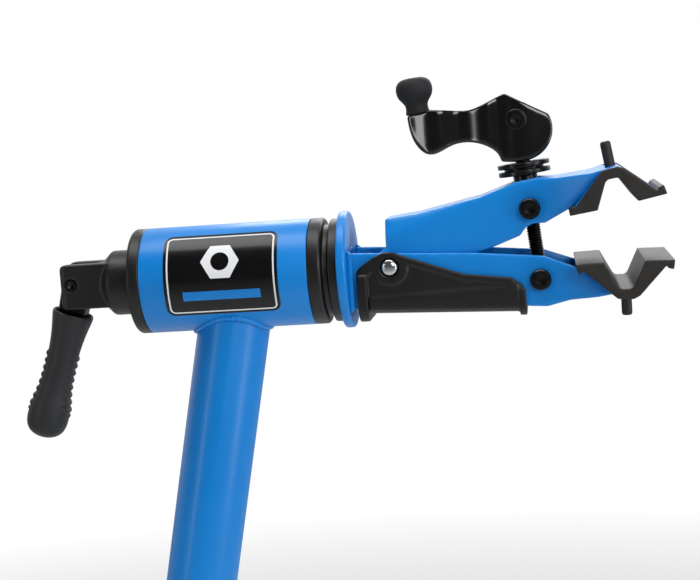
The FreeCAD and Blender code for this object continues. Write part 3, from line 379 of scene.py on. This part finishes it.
def lightRoom():
    room = bpy.data.worlds.new("white room")
    bpy.context.scene.world = room
    room.use_nodes = True
    tree = room.node_tree
    seen = tree.nodes["Background"]
    seen.inputs["Color"].default_value = (1, 1, 1, 1)
    seen.inputs["Strength"].default_value = 1.0
    # the wall behind the stand is white, and the room towards the camera is dim
    way = addNode(tree, "ShaderNodeTexCoord").outputs["Generated"]
    apart = addNode(tree, "ShaderNodeSeparateXYZ", {}, {0: way})
    glow = addNode(tree, "ShaderNodeMapRange", {"From Min": -0.2, "From Max": 0.75, "To Min": 0.09,
                                                "To Max": 0.95},
                   {0: apart.outputs["Y"]})
    fill = addNode(tree, "ShaderNodeBackground", {"Color": (0.93, 0.96, 1.0, 1)},
                   {"Strength": glow.outputs[0]})
    ray = addNode(tree, "ShaderNodeLightPath")
    mixed = addNode(tree, "ShaderNodeMixShader", {}, {0: ray.outputs["Is Camera Ray"], 1: fill.outputs[0],
                                                      2: seen.outputs[0]})
    tree.links.new(mixed.outputs[0], tree.nodes["World Output"].inputs["Surface"])
    bpy.context.scene.view_settings.view_transform = "Standard"


layFloor()
lightRoom()
print("camera, lights and floor in place")


def drawLine(name, points):
    # one vertex, pulled from point to point
    bpy.ops.object.select_all(action="DESELECT")
    bpy.ops.mesh.primitive_plane_add(size=0.001, location=points[0])
    bpy.context.object.name = name
    bpy.ops.object.mode_set(mode="EDIT")
    bpy.ops.mesh.select_all(action="SELECT")
    bpy.ops.mesh.merge(type="CENTER")
    for here, there in zip(points, points[1:]):
        bpy.ops.mesh.extrude_region_move(TRANSFORM_OT_translate={"value": there - here})
    bpy.ops.mesh.select_all(action="SELECT")
    return bpy.context.object


def mergeAndFace():
    bpy.ops.mesh.select_all(action="SELECT")
    bpy.ops.mesh.remove_doubles(threshold=0.00002)
    bpy.ops.mesh.normals_make_consistent(inside=False)


def spinPiece(name, rings, start, axis, steps=96):
    # rings are (along the axis, radius) in millimetres
    side = alongX if abs(axis.y) > 0.5 else axis.cross(alongY).normalized()
    points = [start + (axis * along + side * radius) / 1000 for along, radius in rings]
    piece = drawLine(name, points)
    bpy.ops.mesh.spin(steps=steps, angle=math.tau, center=start, axis=axis)
    mergeAndFace()
    bpy.ops.object.mode_set(mode="OBJECT")
    bpy.ops.object.transform_apply(location=True, rotation=True, scale=True)
    return piece


def copyNode(node, name):
    bpy.ops.object.select_all(action="DESELECT")
    nodes[node].select_set(True)
    bpy.context.view_layer.objects.active = nodes[node]
    bpy.ops.object.duplicate()
    piece = bpy.context.object
    piece.name = name
    piece.parent = None
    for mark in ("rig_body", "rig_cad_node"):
        del piece[mark]
    bpy.ops.mesh.customdata_custom_splitnormals_clear()
    bpy.ops.object.mode_set(mode="EDIT")
    bpy.ops.mesh.select_all(action="SELECT")
    bpy.ops.mesh.remove_doubles(threshold=0.00001)
    bpy.ops.mesh.dissolve_limited(angle_limit=math.radians(0.4))
    bpy.ops.object.mode_set(mode="OBJECT")
    return piece


def addModifier(piece, kind, settings):
    bpy.ops.object.select_all(action="DESELECT")
    piece.select_set(True)
    bpy.context.view_layer.objects.active = piece
    modifier = piece.modifiers.new(kind.lower(), kind)
    for key, value in settings.items():
        setattr(modifier, key, value)
    bpy.ops.object.modifier_apply(modifier=modifier.name)


def softenEdges(piece, width, segments=3, angle=32):
    addModifier(piece, "BEVEL", {"width": width / 1000, "segments": segments, "limit_method": "ANGLE",
                                 "angle_limit": math.radians(angle), "miter_outer": "MITER_ARC",
                                 "use_clamp_overlap": True})


def finishPiece(piece, body, node, slot, smooth=38, material=None):
    bpy.ops.object.select_all(action="DESELECT")
    piece.select_set(True)
    bpy.context.view_layer.objects.active = piece
    bpy.ops.object.transform_apply(location=True, rotation=True, scale=True)
    bpy.ops.object.shade_smooth_by_angle(angle=math.radians(smooth))
    paint(piece, material or finishes[slot])
    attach(piece, body)
    if node:
        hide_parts(node)
    return piece


bodyOf = {node: body for body, members in frame["record"]["behaviour"]["bodies"].items() for node in members}

# every node starts with its own finish
slotOf = {node: nodes[node].data.materials[0].name for node in nodes}
# the record calls the thrust bearing zinc, but between its washers it shows as black as they do
slotOf["thrust_bearing"] = "black_oxide_steel"
for node in nodes:
    paint(nodes[node], finishes[slotOf[node]])
print("finishes on every node")

# steel and turned pieces with crisp edges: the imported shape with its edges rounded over, widths in mm
crispPieces = {
    "lower_jaw_plate": 0.4, "upper_jaw_plate": 0.4, "lever_screw": 0.5, "upper_trunnion_screws": 0.5,
    "lower_trunnion_screws": 0.5, "arm_rivet": 0.4, "head_tube": 0.5, "rear_bearing_cap": 0.8,
    "front_bearing_cap": 0.8, "friction_washer": 0.6, "spindle_flange": 0.7, "seat_collar": 0.4,
    "lower_thrust_washer": 0.5, "upper_thrust_washer": 0.5, "thrust_bearing": 0.3, "crank_pin": 0.4,
    "upper_trunnion": 0.4, "lower_trunnion": 0.4, "collar_bolt": 0.4, "collar_nut": 0.5,
    "leg_pivot_bolts": 0.5,
    "upper_post": 0.5, "lower_post": 0.6, "leg_tube_left": 0.5, "leg_tube_right": 0.5, "collar_bushing": 0.5,
}
for node, width in crispPieces.items():
    piece = copyNode(node, node.replace("_", "-"))
    softenEdges(piece, width)
    finishPiece(piece, bodyOf[node], node, slotOf[node])
print("crisp pieces:", len(crispPieces))


# cast, moulded and pressed pieces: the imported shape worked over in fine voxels, so that its edges and inner
# corners run round as they do on a casting or under a thick coat
castPieces = {
    "cam_lever": {"voxel": 0.45, "rounds": 60}, "grip_shell": {"voxel": 0.55, "rounds": 5},
    "handle_block": {"voxel": 0.5, "rounds": 26}, "handle_tongue": {"voxel": 0.4, "rounds": 8},
    "lower_jaw_cover": {"voxel": 0.5, "rounds": 6}, "upper_jaw_cover": {"voxel": 0.5, "rounds": 6},
    "lower_arm": {"voxel": 0.6, "rounds": 5, "bends": 50}, "upper_arm": {"voxel": 0.6, "rounds": 5,
                                                                         "bends": 110},
    "flange_weld": {"voxel": 0.4, "rounds": 10}, "post_collar": {"voxel": 0.8, "rounds": 12},
    "collar_lever": {"voxel": 0.6, "rounds": 16}, "leg_hub": {"voxel": 1.05, "rounds": 10},
    "leg_end_left": {"voxel": 0.8, "rounds": 12}, "leg_end_right": {"voxel": 0.8, "rounds": 12},
    "leg_knob_left": {"voxel": 0.5, "rounds": 12}, "leg_knob_right": {"voxel": 0.5, "rounds": 12},
    "leg_foot_left": {"voxel": 1.0, "rounds": 14}, "leg_foot_right": {"voxel": 1.0, "rounds": 14},
    "post_foot": {"voxel": 0.9, "rounds": 14},
}


def softenCasting(piece, facts):
    addModifier(piece, "SMOOTH", {"factor": 0.5, "iterations": facts["rounds"]})
    if "bends" in facts:
        # a bent sheet keeps its outline, and only its sideways bends are drawn out
        addModifier(piece, "SMOOTH", {"factor": 0.5, "iterations": facts["bends"], "use_x": False,
                                      "use_z": False})


# half widths of the lever along its length: a wide tail, a waist for the thumb and a full cam head
camLever = {"plan": [(100, 6.0), (118, 11.2), (132, 6.8), (146, 10.9), (153, 8.8), (164, 11.7), (184, 9.4)],
            "packedTail": (98, 8.2), "packedHead": (150, 11.0), "slotHalf": 4.6}


def planWidth(x):
    for (startX, startHalf), (endX, endHalf) in zip(camLever["plan"], camLever["plan"][1:]):
        if x <= endX:
            share = max(0, (x - startX) / (endX - startX))
            return startHalf + (endHalf - startHalf) * share * share * (3 - 2 * share)
    return camLever["plan"][-1][1]


def shapeLever(piece):
    # the sides swell and narrow along the lever, and the slot for the rod's eye keeps its width
    tailX, tailHalf = camLever["packedTail"]
    headX, headHalf = camLever["packedHead"]
    for vertex in piece.data.vertices:
        x = (vertex.co.x - headCentre.x) * 1000
        packedHalf = min(headHalf, tailHalf + (x - tailX) * (headHalf - tailHalf) / (headX - tailX))
        if abs(vertex.co.y) * 1000 > camLever["slotHalf"]:
            vertex.co.y *= planWidth(x) / packedHalf


# the grip shell's side: a recessed panel ends at a ledge, and the wall leans in below it
gripLedge = {"rearX": 76, "rearZ": -15.6, "frontX": 158, "frontZ": -12.6, "rearLow": -23.5, "frontLow": -27.2,
             "panelHalf": 22.5, "ledge": 1.3, "ledgeTall": 2.6, "leanIn": 1.4, "skin": 0.8}


def shapeShell(piece):
    facts = gripLedge
    for vertex in piece.data.vertices:
        place = (vertex.co - headCentre) * 1000
        if abs(place.y) < facts["panelHalf"] - facts["skin"] or not facts["rearX"] < place.x < facts["frontX"]:
            continue
        along = (place.x - facts["rearX"]) / (facts["frontX"] - facts["rearX"])
        ledge = facts["rearZ"] + (facts["frontZ"] - facts["rearZ"]) * along
        low = facts["rearLow"] + (facts["frontLow"] - facts["rearLow"]) * along
        under = ledge - place.z
        if under > -facts["ledgeTall"]:
            rise = min(1.0, (under + facts["ledgeTall"]) / facts["ledgeTall"])
            lean = max(0.0, under / (ledge - low)) ** 2 * facts["leanIn"]
            vertex.co.y += math.copysign(rise * facts["ledge"] - lean, place.y) / 1000


# where the arms' cheeks start to splay, in millimetres, and how gently the press bends them there
armSplay = {"start": 177, "slope": 0.46, "easeOver": 5.5, "cheekFrom": 12}


def shapeArm(piece):
    facts = armSplay
    for vertex in piece.data.vertices:
        past = abs((vertex.co.x - headCentre.x) * 1000 - facts["start"]) / facts["easeOver"]
        if abs(vertex.co.y) * 1000 > facts["cheekFrom"]:
            ease = facts["slope"] * facts["easeOver"] * math.log(1 + math.exp(-past))
            vertex.co.y += math.copysign(ease, vertex.co.y) / 1000


shapers = {"cam_lever": shapeLever, "grip_shell": shapeShell, "upper_arm": shapeArm, "lower_arm": shapeArm}
for node, facts in castPieces.items():
    piece = copyNode(node, node.replace("_", "-"))
    addModifier(piece, "REMESH", {"mode": "VOXEL", "voxel_size": facts["voxel"] / 1000, "adaptivity": 0.0})
    if node in shapers:
        shapers[node](piece)
    softenCasting(piece, facts)
    finishPiece(piece, bodyOf[node], node, slotOf[node], 60)
    print(piece.name, "faces", len(piece.data.polygons))


upperTrunnion = spot(166.807, 0, 29.128)
rodLean = math.radians(5.6)
rodAxis = Vector((-math.sin(rodLean), 0, math.cos(rodLean)))
clampRod = {"radius": 4.0, "root": 3.35, "pitch": 1.5, "low": -50.4, "high": 45.0, "crestStart": 0.4,
            "crestEnd": 0.6, "eyeAlong": 48.8,
            "eyeRings": [(-4.2, 3.05), (-4.2, 7.0), (-3.8, 7.4), (3.8, 7.4), (4.2, 7.0), (4.2, 3.05),
                         (-4.2, 3.05)]}


def makeClampRod():
    facts = clampRod
    rings = [(facts["low"], 0), (facts["low"], facts["root"])]
    turns = int((facts["high"] - facts["low"]) / facts["pitch"])
    for turn in range(turns):
        start = facts["low"] + turn * facts["pitch"]
        rings.append((start + facts["pitch"] * facts["crestStart"], facts["radius"]))
        rings.append((start + facts["pitch"] * facts["crestEnd"], facts["radius"]))
        rings.append((start + facts["pitch"], facts["root"]))
    rings.append((facts["high"], 0))
    piece = spinPiece("clamp-rod", rings, upperTrunnion, rodAxis, 40)
    finishPiece(piece, "rod", "clamp_rod", "black_oxide_steel", 25)
    eyeMiddle = upperTrunnion + rodAxis * facts["eyeAlong"] / 1000
    eye = spinPiece("rod-eye", facts["eyeRings"], eyeMiddle, alongY, 48)
    finishPiece(eye, "rod", None, "black_oxide_steel")


makeClampRod()

spinKnob = {"foot": (107.8, 0, 84.6),
            "rings": [(-0.3, 0), (-0.3, 6.9), (0.9, 6.7), (4.2, 6.0), (6.6, 6.9), (9.4, 9.6), (13.4, 10.6),
                      (17.4, 9.8), (19.5, 7.4), (20.2, 4.6), (20.2, 0)]}


def makeSpinKnob():
    piece = spinPiece("spin-knob", spinKnob["rings"], spot(*spinKnob["foot"]), rodAxis, 32)
    addModifier(piece, "SUBSURF", {"levels": 2, "render_levels": 2})
    finishPiece(piece, "knob", "spin_knob", "black_rubber", 60)


makeSpinKnob()
print("rod and knob turned")

crankGrip = {"mouth": (-100.8, 0, -15.3), "way": (-0.33, 0, -0.944), "ribStart": 25, "ribEnd": 62,
             "ribPitch": 4.4,
             "ribRise": 1.0, "sideShare": 0.8, "ribFade": 0.08, "core": 6.0, "voxel": 0.5, "rounds": 6,
             "rings": [(11, 0), (11, 8.9), (0.6, 10.5), (0, 11.2), (0.7, 12.0), (2.2, 12.2), (7, 11.2),
                       (12, 10.3),
                       (20, 9.3), (30, 8.9), (38, 8.9), (46, 9.3), (52, 10.3), (57, 11.6), (64.9, 12.4),
                       (71, 11.7),
                       (75, 8.9), (77, 4.6), (77.3, 0)]}


def makeCrankGrip():
    facts = crankGrip
    start = spot(*facts["mouth"])
    way = Vector(facts["way"]).normalized()
    piece = spinPiece("crank-grip", facts["rings"], start, way, 32)
    addModifier(piece, "SUBSURF", {"levels": 2, "render_levels": 2})
    addModifier(piece, "REMESH", {"mode": "VOXEL", "voxel_size": facts["voxel"] / 1000,
                                   "adaptivity": 0.0})
    addModifier(piece, "SMOOTH", {"factor": 0.5, "iterations": facts["rounds"]})
    # plain finger ribs along the two edges that lie in the crank's own plane
    side = way.cross(alongY).normalized()
    for vertex in piece.data.vertices:
        away = vertex.co - start
        along = away.dot(way) * 1000
        out = away - way * away.dot(way)
        if not facts["ribStart"] < along < facts["ribEnd"] or out.length * 1000 < facts["core"]:
            continue
        sideways = abs(out.normalized().dot(side))
        if sideways > facts["sideShare"]:
            wave = 0.5 - 0.5 * math.cos(math.tau * (along - facts["ribStart"]) / facts["ribPitch"])
            fade = min(1.0, (sideways - facts["sideShare"]) / facts["ribFade"])
            vertex.co += out.normalized() * wave * fade * facts["ribRise"] / 1000
    addModifier(piece, "SMOOTH", {"factor": 0.5, "iterations": 1})
    finishPiece(piece, "crank_handle", "handle_grip", "black_plastic", 60, gripNylon)


headWeld = {"radius": 21.2, "bead": 1.7, "ripples": 46, "rippleShare": 0.07}
postLean = math.atan2(headCentre.x, headCentre.z)


def makeHeadWeld():
    # a ring bent to the saddle where the post meets the head tube, with the ripples of the weld
    facts = headWeld
    bpy.ops.object.select_all(action="DESELECT")
    bpy.ops.mesh.primitive_torus_add(major_segments=276, minor_segments=16,
                                     major_radius=facts["radius"] / 1000,
                                     minor_radius=facts["bead"] / 1000)
    piece = bpy.context.object
    piece.name = "head-weld"
    up = Vector((math.sin(postLean), 0, math.cos(postLean)))
    ahead = Vector((math.cos(postLean), 0, -math.sin(postLean)))
    for vertex in piece.data.vertices:
        turn = math.atan2(vertex.co.y, vertex.co.x)
        ripple = 1 + facts["rippleShare"] * math.sin(turn * facts["ripples"])
        proud = (math.hypot(vertex.co.x, vertex.co.y) * 1000 - facts["radius"]) * ripple
        rise = vertex.co.z * 1000 * ripple
        nearAhead = facts["radius"] * math.cos(turn)
        nearSide = facts["radius"] * math.sin(turn)
        drop = math.sqrt(headTube["radius"] ** 2 - nearSide ** 2)
        saddle = (nearAhead * math.sin(postLean) - drop) / math.cos(postLean)
        reach = facts["radius"] + proud
        vertex.co = headCentre + (up * (saddle + rise) + ahead * reach * math.cos(turn)
                                  + alongY * reach * math.sin(turn)) / 1000
    finishPiece(piece, "mast", "head_weld", "blue_powder_coat", 80)


makeCrankGrip()
makeHeadWeld()
print("crank grip and head weld made")
